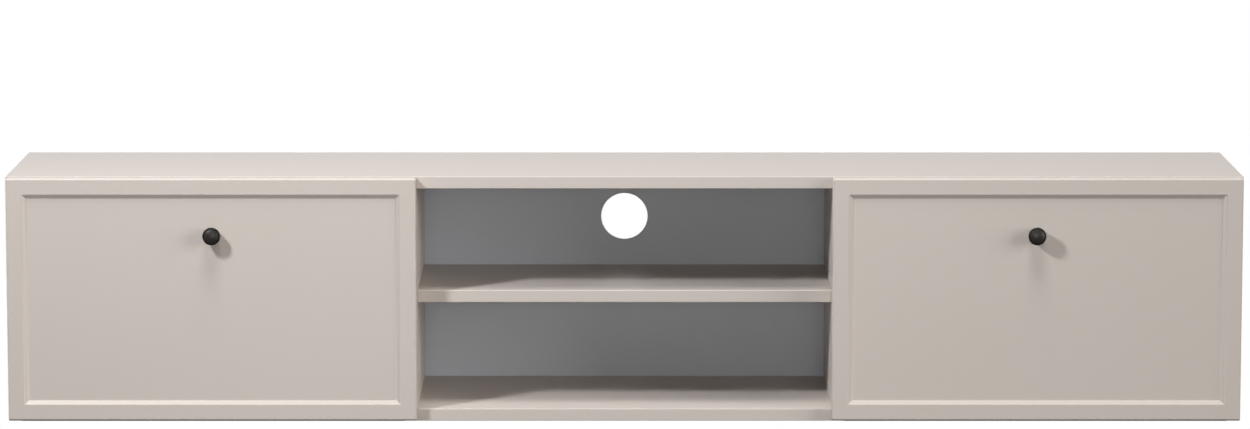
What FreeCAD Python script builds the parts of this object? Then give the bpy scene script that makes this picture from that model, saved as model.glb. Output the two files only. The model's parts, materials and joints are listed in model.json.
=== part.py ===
import FreeCAD, Part
import math
import os

os.makedirs("parts", exist_ok=True)
Vector = FreeCAD.Vector

# Wall-hung media console. Millimetres: +X to the right, +Y to the wall, +Z up.
# The origin is under the middle of the whole console, at its lowest face.

# Carcass
consoleWidth = 1800.0
consoleHeight = 360.0
carcassDepth = 300.0        # back panels included
boardThickness = 18.0
backThickness = 3.0
backInset = 1.0             # back panels stop this far inside the outer edges
bayWidth = 605.2            # open middle bay, between the dividers
shelfUndersideZ = 171.0
shelfSetback = 27.0         # behind the carcass front
cableHoleRadius = 35.0
cableHoleZ = 263.0

# Hanging rails and the wall-screw holes through them
railHeight = 80.0
wallScrewRadius = 4.0
wallScrewSpacing = 400.0

# Flaps with a milled frame
flapWidth = 596.0
flapHeight = 356.0
flapThickness = 18.0
flapGap = 2.0               # between the carcass front and the flap's back
flapSideReveal = 1.7
flapTopReveal = 0.5
flapEdgeRadius = 2.5
frameBorder = 23.5          # flat border around the milled slope
frameSlope = 6.5            # width of the slope
frameDepth = 3.5            # from the border down to the flat field

# Knob
knobReach = 20.0            # tip in front of the frame's border
knobX = 598.5
knobZ = 276.5
knobHeadRadius = 12.9
knobHeadHeight = 13.0       # from the tip back to the foot
knobRimChamfer = 0.5
knobFootRadius = 10.4
knobScrewRadius = 2.0
knobScrewDepth = 14.0       # length of the screw inside the knob
knobScrewClearance = 0.25
knobScrewHeadRadius = 4.0
knobScrewHeadLength = 2.6

# Strip hinge along the flap's lower edge
hingeLength = 560.0
hingeKnuckles = 9
hingeAxisFront = 1.7        # axis in front of the carcass front
hingeAxisZ = 1.75
knuckleRadius = 1.6
hingePinRadius = 0.8
hingePinClearance = 0.05
leafThickness = 0.7
leafHeight = 14.0
knuckleGap = 0.3

# Telescopic stay: wall pivot and flap pivot are equally far from the hinge axis,
# so the cylinder turns by exactly half of the flap's angle.
stayReach = 200.0
stayFlapOffset = 12.0       # flap pivot behind the hinge axis, flap closed
stayClosedAngle = 75.0      # degrees between the two reaches, flap closed
stayFromSide = 14.0         # stay's centre line from the side panel's inner face
stayTubeRadius = 7.5
stayBoreRadius = 5.5
stayRodRadius = 3.0
stayTubeStart = 5.2         # distances along the stay from the wall pivot
stayTubeEnd = 195.0
stayCapLength = 14.8        # closed end of the tube
stayGuideLength = 12.0      # end that guides the rod
stayRodStart = 21.0
stayPistonLength = 8.0
stayEyeRadius = 6.0
stayEyeWidth = 8.0
studRadius = 3.0
studHeadRadius = 4.5
studHeadLength = 2.0
studGap = 0.3               # between the eye and the head or plate beside it
runningClearance = 0.05
plateThickness = 2.5
plateWidth = 22.0
plateLength = 40.0
plateChamfer = 3.0
earTip = 5.5                # half width of the ear's end, round the stud

# Joinery
camRadius = 7.5
camDepth = 12.5
camFromEnd = 24.0
boltRadius = 3.0
boltInBoard = 11.0
boltFromCentre = 2.0        # bolt's end from the cam lock's centre
boltYs = (-85.0, 130.0)
dowelRadius = 4.0
dowelInEdge = 18.0          # depth in the end of a board
dowelInFace = 12.0          # depth in the face of a board
dowelYs = (22.0,)
shelfDowelYs = (-60.0, 120.0)

# Magnetic catch and strike plate
catchX = 600.0
catchSize = (40.0, 16.0, 14.0)
catchFlange = (62.0, 10.0, 3.0)
catchSetback = 0.5
magnetSize = (26.0, 10.0, 8.0)
magnetProud = 0.8
strikeSize = (40.0, 1.2, 14.0)

# Small round pieces that repeat have this many sides, to keep the model light.
smallSides = 8

# Places worked out from the dimensions above
overallDepth = carcassDepth + flapGap + flapThickness + knobReach
wallY = overallDepth / 2
boardRearY = wallY - backThickness
carcassFrontY = wallY - carcassDepth
flapBackY = carcassFrontY - flapGap
flapFrontY = flapBackY - flapThickness
fieldY = flapFrontY + frameDepth
sideOuterX = consoleWidth / 2
sideInnerX = sideOuterX - boardThickness
dividerInnerX = bayWidth / 2
dividerOuterX = dividerInnerX + boardThickness
dividerMiddleX = dividerInnerX + boardThickness / 2
floorZ = boardThickness
ceilingZ = consoleHeight - boardThickness
shelfTopZ = shelfUndersideZ + boardThickness
flapOuterX = sideOuterX - flapSideReveal
flapInnerX = flapOuterX - flapWidth
flapMiddleX = (flapInnerX + flapOuterX) / 2
flapTopZ = consoleHeight - flapTopReveal
flapBottomZ = flapTopZ - flapHeight
compartmentMiddleX = (dividerOuterX + sideInnerX) / 2
hingeY = carcassFrontY - hingeAxisFront
looseBoreRadius = (hingePinRadius + hingePinClearance) / math.cos(math.pi / smallSides)
stayX = sideInnerX - stayFromSide

alongX = Vector(1, 0, 0)
alongY = Vector(0, 1, 0)
alongZ = Vector(0, 0, 1)


def box(x0, x1, y0, y1, z0, z1):
    return Part.makeBox(x1 - x0, y1 - y0, z1 - z0, Vector(x0, y0, z0))


def drum(start, direction, radius, length):
    return Part.makeCylinder(radius, length, start, direction)


def prism(start, direction, radius, length):
    """A rod of few sides, for small pieces that repeat."""
    across = alongX if abs(direction.x) < 0.5 else alongY
    over = direction.cross(across)
    turns = [2 * math.pi * i / smallSides for i in range(smallSides)]
    corners = [start + across * (radius * math.cos(t)) + over * (radius * math.sin(t)) for t in turns]
    return Part.Face(Part.makePolygon(corners + corners[:1])).extrude(direction * length)


def boxAt(centre, size):
    x, y, z = (size[i] / 2 for i in range(3))
    return box(centre.x - x, centre.x + x, centre.y - y, centre.y + y, centre.z - z, centre.z + z)


def mirrored(shape):
    return shape.mirror(Vector(0, 0, 0), alongX)


def bothSides(shapes):
    return shapes + [mirrored(shape) for shape in shapes]


def export(name, shape):
    shape.exportStep("parts/" + name + ".step")


def exportPair(name, rightShape):
    export(name + "_right", rightShape)
    export(name + "_left", mirrored(rightShape))


# Joinery of the right half; each entry is mirrored for the left half.

def uprightEnds():
    """Face x with the cams, direction into the board, end z and direction into the board."""
    for faceX, inward in ((sideInnerX, 1), (dividerOuterX, -1)):
        for endZ, upward in ((floorZ, 1), (ceilingZ, -1)):
            yield faceX, inward, endZ, upward


def camPlaces():
    for faceX, inward, endZ, upward in uprightEnds():
        for y in boltYs:
            middleX = faceX + inward * boardThickness / 2
            yield faceX, inward, middleX, y, endZ, upward


def camBore(faceX, inward, middleX, y, endZ, upward):
    centre = Vector(faceX, y, endZ + upward * camFromEnd)
    return prism(centre, alongX * inward, camRadius, camDepth)


def camBolt(faceX, inward, middleX, y, endZ, upward):
    """Bolt from inside the top or bottom board into the cam lock."""
    start = Vector(middleX, y, endZ - upward * boltInBoard)
    return prism(start, alongZ * upward, boltRadius, boltInBoard + camFromEnd - boltFromCentre)


def camLock(place):
    return camBore(*place).cut(camBolt(*place))


def uprightDowels():
    """Dowels between the uprights' ends and the top or bottom board."""
    dowels = []
    for faceX, inward, endZ, upward in uprightEnds():
        for y in dowelYs:
            start = Vector(faceX + inward * boardThickness / 2, y, endZ - upward * dowelInFace)
            dowels.append(prism(start, alongZ * upward, dowelRadius, dowelInFace + dowelInEdge))
    return dowels


def shelfDowels():
    z = shelfUndersideZ + boardThickness / 2
    length = dowelInFace + dowelInEdge
    starts = [Vector(dividerInnerX - dowelInEdge, y, z) for y in shelfDowelYs]
    return [prism(start, alongX, dowelRadius, length) for start in starts]


def railDowels():
    z = ceilingZ - railHeight / 2
    y = boardRearY - boardThickness / 2
    length = dowelInFace + dowelInEdge
    return [
        prism(Vector(sideInnerX + dowelInFace, y, z), -alongX, dowelRadius, length),
        prism(Vector(dividerOuterX - dowelInFace, y, z), alongX, dowelRadius, length),
    ]


def allDowels():
    return bothSides(uprightDowels() + shelfDowels() + railDowels())


def camBores():
    return bothSides([camBore(*place) for place in camPlaces()])


def camBolts():
    return bothSides([camBolt(*place) for place in camPlaces()])


def camLocks():
    return bothSides([camLock(place) for place in camPlaces()])


# Boards

def flatBoard(z0):
    """Top or bottom board, drilled for the bolts and dowels of the four uprights."""
    board = box(-sideOuterX, sideOuterX, carcassFrontY, boardRearY, z0, z0 + boardThickness)
    return board.cut(camBolts() + allDowels())


def upright(x0, x1):
    board = box(x0, x1, carcassFrontY, boardRearY, floorZ, ceilingZ)
    return board.cut(camBores() + camBolts() + allDowels())


def centreShelf():
    frontY = carcassFrontY + shelfSetback
    shelf = box(-dividerInnerX, dividerInnerX, frontY, boardRearY, shelfUndersideZ, shelfTopZ)
    return shelf.cut(bothSides(shelfDowels()))


def wallScrewHoles():
    z = ceilingZ - railHeight / 2
    xs = (compartmentMiddleX - wallScrewSpacing / 2, compartmentMiddleX + wallScrewSpacing / 2)
    start = boardRearY - boardThickness
    length = boardThickness + backThickness
    return [drum(Vector(x, start, z), alongY, wallScrewRadius, length) for x in xs]


def hangingRail():
    rearY = boardRearY - boardThickness
    rail = box(dividerOuterX, sideInnerX, rearY, boardRearY, ceilingZ - railHeight, ceilingZ)
    return rail.cut(wallScrewHoles() + railDowels())


def backPanel(x0, x1):
    return box(x0, x1, boardRearY, wallY, backInset, consoleHeight - backInset)


def sideBackPanel():
    return backPanel(dividerMiddleX, sideOuterX - backInset).cut(wallScrewHoles())


def centreBackPanel():
    hole = drum(Vector(0, boardRearY, cableHoleZ), alongY, cableHoleRadius, backThickness)
    return backPanel(-dividerMiddleX, dividerMiddleX).cut(hole)


# Flap

def rectangle(inset, y):
    x0 = flapInnerX + inset
    x1 = flapOuterX - inset
    z0 = flapBottomZ + inset
    z1 = flapTopZ - inset
    corners = [Vector(x0, y, z0), Vector(x1, y, z0), Vector(x1, y, z1), Vector(x0, y, z1)]
    return Part.makePolygon(corners + corners[:1])


def flapBoard():
    """A board with rounded front edges and a field sunk behind a mitred slope."""
    board = box(flapInnerX, flapOuterX, flapFrontY, flapBackY, flapBottomZ, flapTopZ)
    frontEdges = [edge for edge in board.Edges if edge.BoundBox.YMax < flapFrontY + 0.01]
    board = board.makeFillet(flapEdgeRadius, frontEdges)
    overshoot = frameDepth / 2
    mouth = frameBorder - overshoot * frameSlope / frameDepth
    field = frameBorder + frameSlope
    outlines = [rectangle(mouth, flapFrontY - overshoot), rectangle(field, fieldY)]
    sunk = Part.makeLoft(outlines, True, True)
    boreRadius = knobScrewRadius + knobScrewClearance
    bore = prism(Vector(knobX, fieldY, knobZ), alongY, boreRadius, flapThickness)
    return board.cut([sunk, bore])


def knob():
    """Turned knob: a round head with a bevelled rim on a thick straight foot."""
    tip = flapFrontY - knobReach
    footY = fieldY - tip
    outline = [
        (0, footY),
        (knobFootRadius, footY),
        (knobFootRadius, knobHeadHeight),
        (knobHeadRadius, knobHeadHeight),
        (knobHeadRadius, knobRimChamfer),
        (knobHeadRadius - knobRimChamfer, 0),
        (0, 0),
    ]
    corners = [Vector(knobX + radius, tip + fromTip, knobZ) for radius, fromTip in outline]
    section = Part.Face(Part.makePolygon(corners + corners[:1]))
    body = section.revolve(Vector(knobX, 0, knobZ), alongY, 360)
    return body.cut(prism(Vector(knobX, fieldY, knobZ), -alongY, knobScrewRadius, knobScrewDepth))


def knobScrew():
    """Pan-head screw from the flap's back into the knob."""
    start = Vector(knobX, flapBackY, knobZ)
    head = prism(start, alongY, knobScrewHeadRadius, knobScrewHeadLength)
    shankLength = flapBackY - fieldY + knobScrewDepth
    return head.fuse(prism(start, -alongY, knobScrewRadius, shankLength))


# Strip hinge

def knuckleSpans(first):
    """X ranges of every second knuckle, counted from the given one."""
    pitch = hingeLength / hingeKnuckles
    start = flapMiddleX - hingeLength / 2
    return [
        (start + i * pitch + knuckleGap / 2, start + (i + 1) * pitch - knuckleGap / 2)
        for i in range(first, hingeKnuckles, 2)
    ]


def hingeLeaf(first, faceY, toward, boreRadius):
    """A leaf whose knuckles are rolled round the hinge axis."""
    start = flapMiddleX - hingeLength / 2
    leafY0, leafY1 = sorted((faceY, faceY + toward * leafThickness))
    clearZ = hingeAxisZ + knuckleRadius + knuckleGap
    leaf = box(start, start + hingeLength, leafY0, leafY1, clearZ, flapBottomZ + leafHeight)
    roots = []
    bores = []
    for x0, x1 in knuckleSpans(first):
        axisPoint = Vector(x0, hingeY, hingeAxisZ)
        roots.append(prism(axisPoint, alongX, knuckleRadius, x1 - x0))
        roots.append(box(x0, x1, leafY0, leafY1, hingeAxisZ, clearZ))
        bores.append(prism(axisPoint, alongX, boreRadius, x1 - x0))
    return leaf.fuse(roots).cut(bores).removeSplitter()


def hingePin():
    start = Vector(flapMiddleX - hingeLength / 2 + knuckleGap / 2, hingeY, hingeAxisZ)
    return prism(start, alongX, hingePinRadius, hingeLength - knuckleGap)


# Telescopic stay, laid out in the plane across the hinge axis

def stayPoint(angle, reach):
    """A point at an angle from the front, measured upwards round the hinge axis."""
    turn = math.radians(angle)
    return Vector(stayX, hingeY - reach * math.cos(turn), hingeAxisZ + reach * math.sin(turn))


flapPivotAngle = 90 + math.degrees(math.asin(stayFlapOffset / stayReach))
flapPivot = stayPoint(flapPivotAngle, stayReach)
wallPivot = stayPoint(flapPivotAngle + stayClosedAngle, stayReach)
stayLength = (flapPivot - wallPivot).Length
stayDirection = (flapPivot - wallPivot).normalize()


def stayDrum(start, end, radius):
    return drum(wallPivot + stayDirection * start, stayDirection, radius, end - start)


def stayEye(centre):
    start = centre - alongX * (stayEyeWidth / 2)
    return drum(start, alongX, stayEyeRadius, stayEyeWidth)


def stayEyeBore(centre):
    start = centre - alongX * (stayEyeWidth / 2)
    return drum(start, alongX, studRadius + runningClearance, stayEyeWidth)


def stayCylinder():
    """Tube with an eye at the wall pivot; its far end guides the rod."""
    tube = stayDrum(stayTubeStart, stayTubeEnd, stayTubeRadius)
    hollow = stayDrum(stayTubeStart + stayCapLength, stayTubeEnd - stayGuideLength, stayBoreRadius)
    passage = stayDrum(stayTubeEnd - stayGuideLength, stayTubeEnd, stayRodRadius + runningClearance)
    return stayEye(wallPivot).fuse(tube).cut([hollow, passage, stayEyeBore(wallPivot)])


def stayRod():
    """Piston, rod and the eye at the flap pivot."""
    piston = stayDrum(stayRodStart, stayRodStart + stayPistonLength, stayBoreRadius - runningClearance)
    shaft = stayDrum(stayRodStart + stayPistonLength, stayLength, stayRodRadius)
    return stayEye(flapPivot).fuse([piston, shaft]).cut(stayEyeBore(flapPivot))


def stud(pivot, rootX, toward):
    """Turned stud along X, from its plate through the eye to a head that keeps the eye on."""
    headX = pivot.x + toward * (stayEyeWidth / 2 + studGap)
    shank = drum(Vector(rootX, pivot.y, pivot.z), alongX * toward, studRadius, abs(headX - rootX))
    head = prism(Vector(headX, pivot.y, pivot.z), alongX * toward, studHeadRadius, studHeadLength)
    return shank.fuse(head)


def wallBracket():
    """Plate on the side panel with a stud for the cylinder's eye."""
    plate = boxAt(
        Vector(sideInnerX - plateThickness / 2, wallPivot.y, wallPivot.z),
        (plateThickness, plateLength, plateWidth),
    )
    corners = [edge for edge in plate.Edges if edge.BoundBox.XLength > plateThickness - 0.01]
    plate = plate.makeChamfer(plateChamfer, corners)
    return plate.fuse(stud(wallPivot, sideInnerX - plateThickness, -1))


def flapBracket():
    """Angle bracket on the flap's back: foot, tapered ear and a stud for the rod's eye."""
    earX1 = stayX - stayEyeWidth / 2 - studGap
    earX0 = earX1 - plateThickness
    footY1 = flapBackY + plateThickness
    low = flapPivot.z - plateLength / 2
    high = flapPivot.z + plateLength / 2
    foot = box(earX1 - plateWidth, earX1, flapBackY, footY1, low, high)
    tipY = flapPivot.y + earTip
    tipEnds = [(tipY, flapPivot.z - earTip), (tipY, flapPivot.z + earTip)]
    outline = [(footY1, low)] + tipEnds + [(footY1, high)]
    corners = [Vector(earX0, y, z) for y, z in outline]
    ear = Part.Face(Part.makePolygon(corners + corners[:1])).extrude(alongX * plateThickness)
    return foot.fuse([ear, stud(flapPivot, earX1, 1)]).removeSplitter()


# Catch

def catchHousing():
    """Moulded block with screw ears against the top board and a pocket for the magnet."""
    frontY = carcassFrontY + catchSetback
    block = boxAt(Vector(catchX, frontY + catchSize[1] / 2, ceilingZ - catchSize[2] / 2), catchSize)
    flangeY = frontY + catchSize[1] - catchFlange[1] / 2
    flange = boxAt(Vector(catchX, flangeY, ceilingZ - catchFlange[2] / 2), catchFlange)
    return block.fuse(flange).cut(catchMagnet()).removeSplitter()


def catchMagnet():
    frontY = carcassFrontY + catchSetback - magnetProud
    centre = Vector(catchX, frontY + magnetSize[1] / 2, ceilingZ - catchSize[2] / 2)
    return boxAt(centre, magnetSize)


def strikePlate():
    return boxAt(Vector(catchX, flapBackY + strikeSize[1] / 2, ceilingZ - catchSize[2] / 2), strikeSize)


export("bottom_panel", flatBoard(0))
export("top_panel", flatBoard(ceilingZ))
exportPair("side_panel", upright(sideInnerX, sideOuterX))
exportPair("divider", upright(dividerInnerX, dividerOuterX))
export("centre_shelf", centreShelf())
exportPair("hanging_rail", hangingRail())
export("back_panel_centre", centreBackPanel())
exportPair("back_panel", sideBackPanel())
export("cam_locks", Part.makeCompound(camLocks()))
export("cam_bolts", Part.makeCompound(camBolts()))
export("dowels", Part.makeCompound(allDowels()))
exportPair("flap", flapBoard())
exportPair("knob", knob())
exportPair("knob_screw", knobScrew())
exportPair("hinge_leaf_carcass", hingeLeaf(0, carcassFrontY, -1, hingePinRadius))
exportPair("hinge_leaf_flap", hingeLeaf(1, flapBackY, 1, looseBoreRadius))
exportPair("hinge_pin", hingePin())
exportPair("stay_cylinder", stayCylinder())
exportPair("stay_rod", stayRod())
exportPair("stay_wall_bracket", wallBracket())
exportPair("stay_flap_bracket", flapBracket())
exportPair("catch_housing", catchHousing())
exportPair("catch_magnet", catchMagnet())
exportPair("strike_plate", strikePlate())

print("wall pivot", wallPivot, "flap pivot", flapPivot, "stay closed length", round(stayLength, 2))
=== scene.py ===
import json
import math

import bmesh
import bpy
import numpy as np
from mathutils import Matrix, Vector
from mathutils.geometry import tessellate_polygon

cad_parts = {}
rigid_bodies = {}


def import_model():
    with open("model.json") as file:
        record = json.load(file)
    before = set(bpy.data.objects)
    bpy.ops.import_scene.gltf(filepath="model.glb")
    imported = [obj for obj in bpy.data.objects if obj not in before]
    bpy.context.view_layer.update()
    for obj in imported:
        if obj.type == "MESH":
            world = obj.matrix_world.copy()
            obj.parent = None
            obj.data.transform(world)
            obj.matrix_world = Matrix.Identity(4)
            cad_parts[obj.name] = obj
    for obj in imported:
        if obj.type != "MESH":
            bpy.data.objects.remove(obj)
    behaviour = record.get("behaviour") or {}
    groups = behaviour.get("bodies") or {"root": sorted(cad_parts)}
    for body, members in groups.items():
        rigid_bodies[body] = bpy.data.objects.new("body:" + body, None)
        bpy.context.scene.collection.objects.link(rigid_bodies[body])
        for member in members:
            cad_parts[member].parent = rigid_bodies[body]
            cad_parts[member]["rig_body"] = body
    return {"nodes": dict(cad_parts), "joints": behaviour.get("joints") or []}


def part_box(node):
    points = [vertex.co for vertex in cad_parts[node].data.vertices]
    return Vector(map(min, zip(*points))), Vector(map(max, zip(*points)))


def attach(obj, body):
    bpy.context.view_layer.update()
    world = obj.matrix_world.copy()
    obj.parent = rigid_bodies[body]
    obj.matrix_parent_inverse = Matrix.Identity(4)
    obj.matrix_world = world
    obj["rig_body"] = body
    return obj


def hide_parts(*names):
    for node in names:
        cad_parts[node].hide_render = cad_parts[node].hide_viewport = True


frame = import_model()
joints = {joint["name"]: joint for joint in frame["joints"]}
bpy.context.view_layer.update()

# Metres: +X to the right, +Y to the wall, +Z up, as in the frame.
mm = 0.001
sides = {"left": -1, "right": 1}
axisX = (1, 0, 0)
axisY = (0, 1, 0)
axisZ = (0, 0, 1)
toFront = (0, -1, 0)
toFloor = (0, 0, -1)
sharpAngle = math.radians(35)  # an edge that turns by more than this shades as an edge


# Outlines are rows of (x, y), counter-clockwise.

# centre + radius * (cos t, sin t)
def circle(radius, count=32, centre=(0, 0)):
    t = np.linspace(0, 2 * math.pi, count, endpoint=False)
    return np.stack([centre[0] + radius * np.cos(t), centre[1] + radius * np.sin(t)], axis=1)


# corner centre + radius * (cos t, sin t), for the four corners in turn
def roundedRectangle(width, height, radius, steps=4, centre=(0, 0)):
    t = np.linspace(0, math.pi / 2, steps + 1)[None, :] + np.arange(4)[:, None] * math.pi / 2
    signX = np.array([1, -1, -1, 1])[:, None]
    signY = np.array([1, 1, -1, -1])[:, None]
    x = centre[0] + signX * (width / 2 - radius) + radius * np.cos(t)
    y = centre[1] + signY * (height / 2 - radius) + radius * np.sin(t)
    return np.stack([x.ravel(), y.ravel()], axis=1)


# A path through corner points, each corner rounded by a circle that touches both of its sides.
def roundedPath(points, radii, steps=5):
    points = np.array(points, float)
    out = [points[:1]]
    for before, corner, after, radius in zip(points, points[1:], points[2:], radii):
        a = (before - corner) / np.linalg.norm(before - corner)
        b = (after - corner) / np.linalg.norm(after - corner)
        half = math.acos(np.clip(a @ b, -1, 1)) / 2
        if radius <= 0 or half > 0.499 * math.pi:
            out.append(corner[None])
            continue
        middle = corner + (a + b) / np.linalg.norm(a + b) * radius / math.sin(half)
        start = corner + a * radius / math.tan(half) - middle
        side = corner + b * radius / math.tan(half) - middle
        sweep = math.pi - 2 * half
        t = np.linspace(0, sweep, steps + 1)[:, None]
        out.append(middle + (start * np.sin(sweep - t) + side * np.sin(t)) / math.sin(sweep))
    out.append(points[-1:])
    return np.concatenate(out)


# Shapes are (points, faces), where faces are arrays of rows of point numbers.

def joined(*shapes):
    points = []
    faces = []
    offset = 0
    for shapePoints, shapeFaces in shapes:
        points.append(shapePoints)
        faces += [rows + offset for rows in shapeFaces]
        offset += len(shapePoints)
    return np.concatenate(points), faces


# origin + x * across + y * (up x across) + z * up
def placed(shape, origin, across=axisX, up=axisZ):
    across = np.array(across, float)
    up = np.array(up, float)
    turned = shape[0] @ np.stack([across, np.cross(up, across), up])
    return turned + np.array(origin, float), shape[1]


# The middle of a box, or of its face at y
def middleOf(low, high, y=None):
    return ((low.x + high.x) / 2, (low.y + high.y) / 2 if y is None else y, (low.z + high.z) / 2)


def repeated(shape, origins, across=axisX, up=axisZ):
    return joined(*[placed(shape, origin, across, up) for origin in origins])


# Side -1 mirrors a shape made for the right half: (side * x, y, z).
def onSide(shape, side):
    return shape[0] * np.array([side, 1, 1]), shape[1]


# Quads between the rings of a (rings, points, 3) array, closed around the ring.
def band(rings):
    count, around = rings.shape[:2]
    number = np.arange(count * around).reshape(count, around)
    after = np.roll(number, -1, axis=1)
    quads = np.stack([number[:-1], after[:-1], after[1:], number[1:]], axis=-1).reshape(-1, 4)
    return rings.reshape(-1, 3), [quads]


# A flat face between an outer ring and its holes.
def filled(rings):
    points = np.concatenate(rings)
    if len(rings) == 1:
        return points, [np.arange(len(points))[None]]
    triangles = tessellate_polygon([[Vector(p) for p in ring] for ring in rings])
    return points, [np.array(triangles)]


# outline(inset) carried through the profile's rows of (inset, z)
def wallRings(outline, profile):
    rings = []
    for inset, z in profile:
        flat = outline(inset)
        rings.append(np.column_stack([flat, np.full(len(flat), z)]))
    return np.stack(rings)


# Each outline is carried through the profile and the two ends are filled between the outlines.
# Blind recesses are (outline, profile) pairs cut into the first end.
def plate(outer, profile, holes=(), recesses=()):
    through = [wallRings(outline, profile) for outline in (outer, *holes)]
    blind = [wallRings(outline, depth) for outline, depth in recesses]
    walls = [band(rings) for rings in through + blind]
    first = filled([rings[0] for rings in through + blind])
    last = filled([rings[-1] for rings in through])
    floors = [filled([rings[-1]]) for rings in blind]
    return joined(first, last, *walls, *floors)


# (r cos u, r sin u, z) for every (r, z) of the profile, which starts and ends on the axis or closes
def lathe(profile, count=32, closed=False):
    profile = np.array(profile)
    if closed:
        profile = np.concatenate([profile, profile[:1]])
    u = np.linspace(0, 2 * math.pi, count, endpoint=False)[None]
    radius = profile[:, :1]
    rings = np.stack([radius * np.cos(u), radius * np.sin(u), profile[:, 1:] + 0 * u], axis=-1)
    return band(rings)


# Insets and heights of a flat piece whose arrises are rounded, from its front to its back.
def easedProfile(thickness, front, back, steps=3):
    corners = [(2 * front, thickness), (0, thickness), (0, 0), (2 * back, 0)]
    return roundedPath(corners, [front, back], steps)


# A block with rounded arrises and corners that fills a box: rounded rectangles through an eased profile.
def block(low, high, radius, facing="front", steps=3):
    low = np.array(low)
    high = np.array(high)
    size = high - low
    middle = (low + high) / 2
    if facing == "front":
        width, height, thickness = size[0], size[2], size[1]
        origin, up = (middle[0], high[1], middle[2]), toFront
    else:
        width, height, thickness = size[0], size[1], size[2]
        origin, up = (middle[0], middle[1], low[2]), axisZ

    def outline(inset):
        return roundedRectangle(width - 2 * inset, height - 2 * inset, max(radius - inset, 0), steps)

    return placed(plate(outline, easedProfile(thickness, radius, radius, steps)), origin, axisX, up)


# A cross-recessed screw head: circles through (inset, z) rows, with a tapered cross sunk into the top.
# The rows are shares of the radius and the height; the cross reaches out to slot * radius.
def screwHead(radius, height, slot, domed=True):
    if domed:
        brow = (0.2 * radius, 0.86 * height)
        cheek = (0.05 * radius, 0.5 * height)
        profile = [(0.45 * radius, height), brow, cheek, (0, 0)]
    else:
        profile = [(0.08 * radius, height), (0, 0.7 * height), (0, 0)]

    def crossOutline(inset):
        arm = slot * radius - inset
        half = 0.16 * radius - inset * 0.5
        corner = np.array([[arm, -half], [arm, half], [half, half]])
        turns = [np.array([[c, s], [-s, c]]) for c, s in ((1, 0), (0, 1), (-1, 0), (0, -1))]
        return np.concatenate([corner @ turn for turn in turns])

    recess = [(0, height), (0.08 * radius, height - 0.5 * radius)]
    return plate(lambda inset: circle(radius - inset, 24), profile, recesses=[(crossOutline, recess)])


def newObject(name, data):
    made = bpy.data.objects.new(name, data)
    bpy.context.scene.collection.objects.link(made)
    return made


def addPiece(name, shape, material, body, nodes=()):
    points, faces = shape
    mesh = bpy.data.meshes.new(name)
    mesh.from_pydata(points.tolist(), [], [row for rows in faces for row in rows.tolist()])
    bm = bmesh.new()
    bm.from_mesh(mesh)
    bmesh.ops.remove_doubles(bm, verts=bm.verts, dist=1e-6)
    bmesh.ops.dissolve_degenerate(bm, edges=bm.edges, dist=1e-7)
    bmesh.ops.recalc_face_normals(bm, faces=bm.faces)
    bm.to_mesh(mesh)
    bm.free()
    mesh.shade_smooth()
    mesh.set_sharp_from_angle(angle=sharpAngle)
    piece = newObject(name, mesh)
    weighted = piece.modifiers.new("flat faces shade flat", "WEIGHTED_NORMAL")
    weighted.keep_sharp = True
    weighted.weight = 100
    mesh.materials.append(material)
    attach(piece, body)
    if nodes:
        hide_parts(*nodes)


# Wraps a socket, so that sums, differences and products of sockets add Math nodes.
class Signal:
    def __init__(self, tree, socket=None):
        self.tree = tree
        self.socket = socket

    # Adds a node: its settings first, then the values or links of its inputs.
    def node(self, kind, settings=None, inputs=None, output=0):
        made = self.tree.nodes.new(kind)
        for name, value in (settings or {}).items():
            setattr(made, name, value)
        for name, value in (inputs or {}).items():
            if isinstance(value, Signal):
                self.tree.links.new(value.socket, made.inputs[name])
            else:
                made.inputs[name].default_value = value
        return Signal(self.tree, made.outputs[output] if made.outputs else None)

    # Another output of the same node.
    def output(self, name):
        return Signal(self.tree, self.socket.node.outputs[name])

    def math(self, operation, a, b=0.0):
        return self.node("ShaderNodeMath", {"operation": operation}, {0: a, 1: b})

    def __add__(self, other):
        return self.math("ADD", self, other)

    def __radd__(self, other):
        return self.math("ADD", other, self)

    def __sub__(self, other):
        return self.math("SUBTRACT", self, other)

    def __rsub__(self, other):
        return self.math("SUBTRACT", other, self)

    def __mul__(self, other):
        return self.math("MULTIPLY", self, other)


# sRGB bytes to the linear colour that a shader takes
def paint(red, green, blue):
    c = np.array([red, green, blue]) / 255
    linear = np.where(c <= 0.04045, c / 12.92, ((c + 0.055) / 1.055) ** 2.4)
    return (*linear.tolist(), 1.0)


def newMaterial(name):
    material = bpy.data.materials.new(name)
    material.use_nodes = True
    material.node_tree.nodes.clear()
    start = Signal(material.node_tree)
    return material, start.node("ShaderNodeTexCoord", output="Object")


def noise(place, scale, detail=3.0, rough=0.5, stretch=(1, 1, 1)):
    if stretch != (1, 1, 1):
        place = place.node("ShaderNodeVectorMath", {"operation": "MULTIPLY"}, {0: place, 1: stretch})
    inputs = {"Vector": place, "Scale": scale, "Detail": detail, "Roughness": rough}
    return place.node("ShaderNodeTexNoise", {}, inputs)


def mixed(factor, a, b):
    return factor.node("ShaderNodeMix", {"data_type": "RGBA"}, {0: factor, 6: a, 7: b}, output=2)


# A mix of two paints
def painted(factor, a, b):
    return mixed(factor, paint(*a), paint(*b))


# low + (high - low) * t, for t from 0 to 1
def between(t, low, high):
    return low + t * (high - low)


# The shader's own sockets take the constants; colour, roughness and bump may vary.
def finish(place, colour, roughness, height=None, depth=0.0, **constants):
    inputs = {"Base Color": colour, "Roughness": roughness, **constants}
    if height is not None:
        bump = {"Strength": 1.0, "Distance": depth, "Height": height}
        inputs["Normal"] = place.node("ShaderNodeBump", {}, bump)
    shader = place.node("ShaderNodeBsdfPrincipled", {}, inputs)
    place.node("ShaderNodeOutputMaterial", {}, {"Surface": shader})


# In the looks below, a noise is its scale, detail, roughness and stretch, and a pair of numbers a range.

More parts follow.
